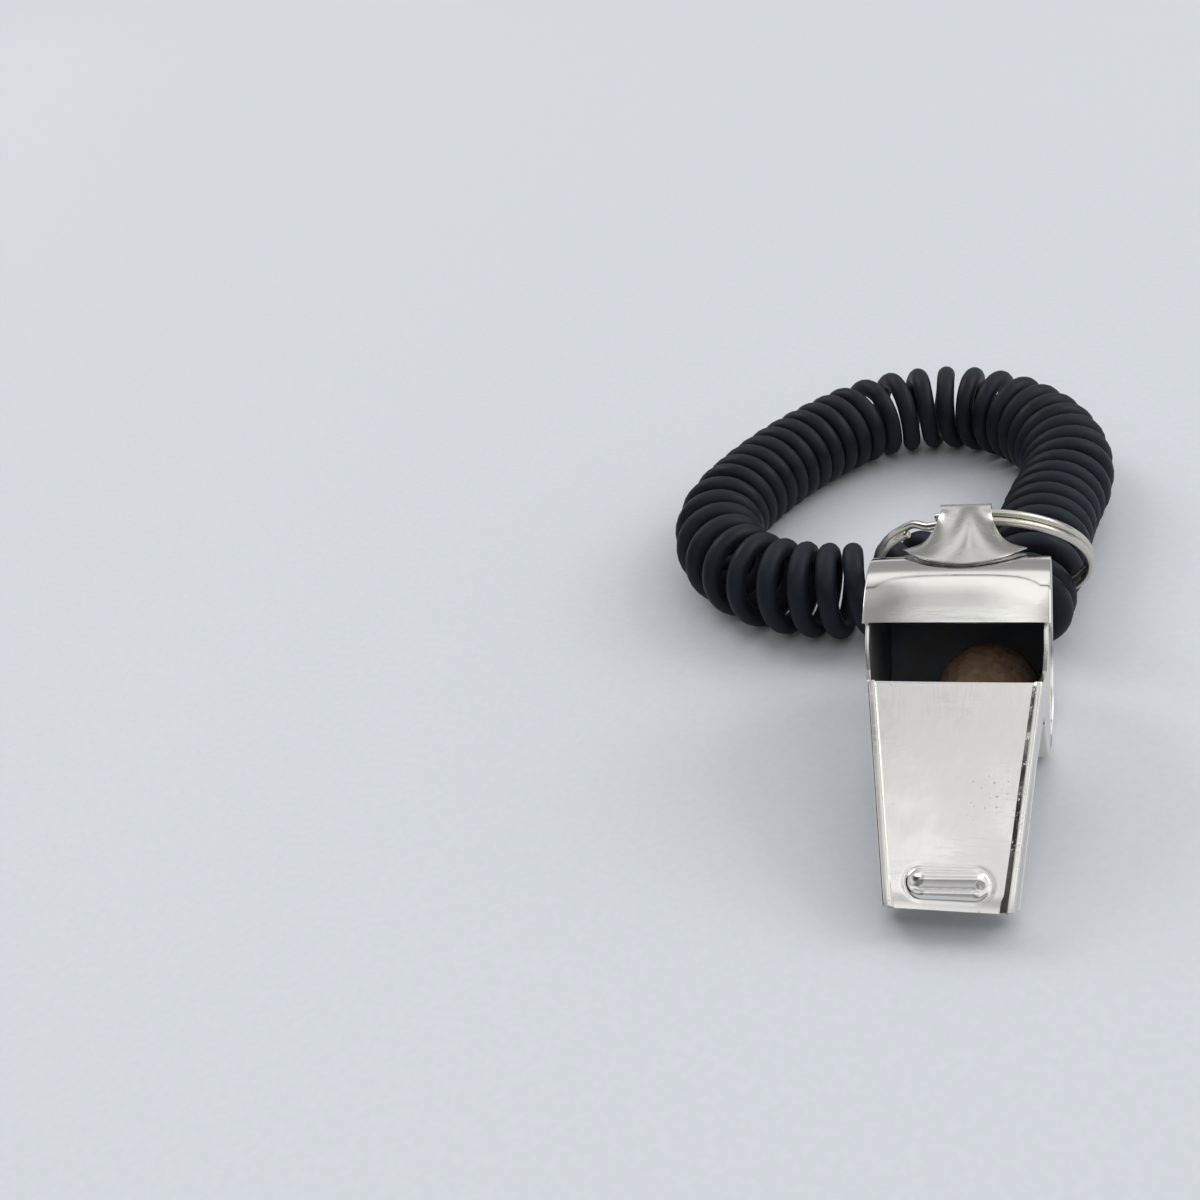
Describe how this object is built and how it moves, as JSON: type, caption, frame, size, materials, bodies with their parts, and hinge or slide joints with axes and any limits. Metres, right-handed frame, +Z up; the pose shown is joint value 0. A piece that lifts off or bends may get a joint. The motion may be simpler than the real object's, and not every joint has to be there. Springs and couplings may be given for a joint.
{
  "type": "sports whistle with wrist coil",
  "caption": "Nickel-plated metal pea whistle with a soldered ring bracket, a split ring and a black curly wrist coil.",
  "frame": {"origin": "centre of the whistle's bounding box, at table level, without the ring and the coil", "axes": "+Z up from the table, +Y from the mouthpiece towards the bracket, +X along the barrel to the right"},
  "size_m": [0.067, 0.1257, 0.027],
  "materials": {
    "nickel_shell": "polished, with fine pits",
    "nickel_band": "polished, lightly brushed along the barrel",
    "nickel_plate": "polished with a fine orange peel",
    "nickel_bracket": "satin nickel",
    "solder": "dull, uneven",
    "cork": "matte cork with darker flecks",
    "ring_wire": "worn nickel-plated wire",
    "coil_plastic": "satin blue-black"
  },
  "bodies": {
    "whistle": {"body_shell": "nickel_shell", "barrel_band": "nickel_band", "top_plate": "nickel_plate", "ring_bracket": "nickel_bracket", "bracket_solder": "solder"},
    "pea": {"cork_pea": "cork"},
    "ring": {"split_ring": "ring_wire"},
    "coil": {"wrist_coil": "coil_plastic"}
  },
  "joints": [
    {"name": "pea_orbit", "type": "hinge", "parent": "whistle", "child": "pea", "pos_m": [0.0032, 0.01062, 0.0127], "axis": [1, 0, 0], "continuous": true},
    {"name": "ring_swing", "type": "hinge", "parent": "whistle", "child": "ring", "pos_m": [0, 0.02382, 0.02505], "axis": [1, 0, 0], "range_deg": [0, 150]},
    {"name": "coil_swing", "type": "hinge", "parent": "ring", "child": "coil", "pos_m": [0, 0.03712, 0.0055], "axis": [0.9961, 0.0623, -0.0623], "range_deg": [-5, 8]}
  ]
}
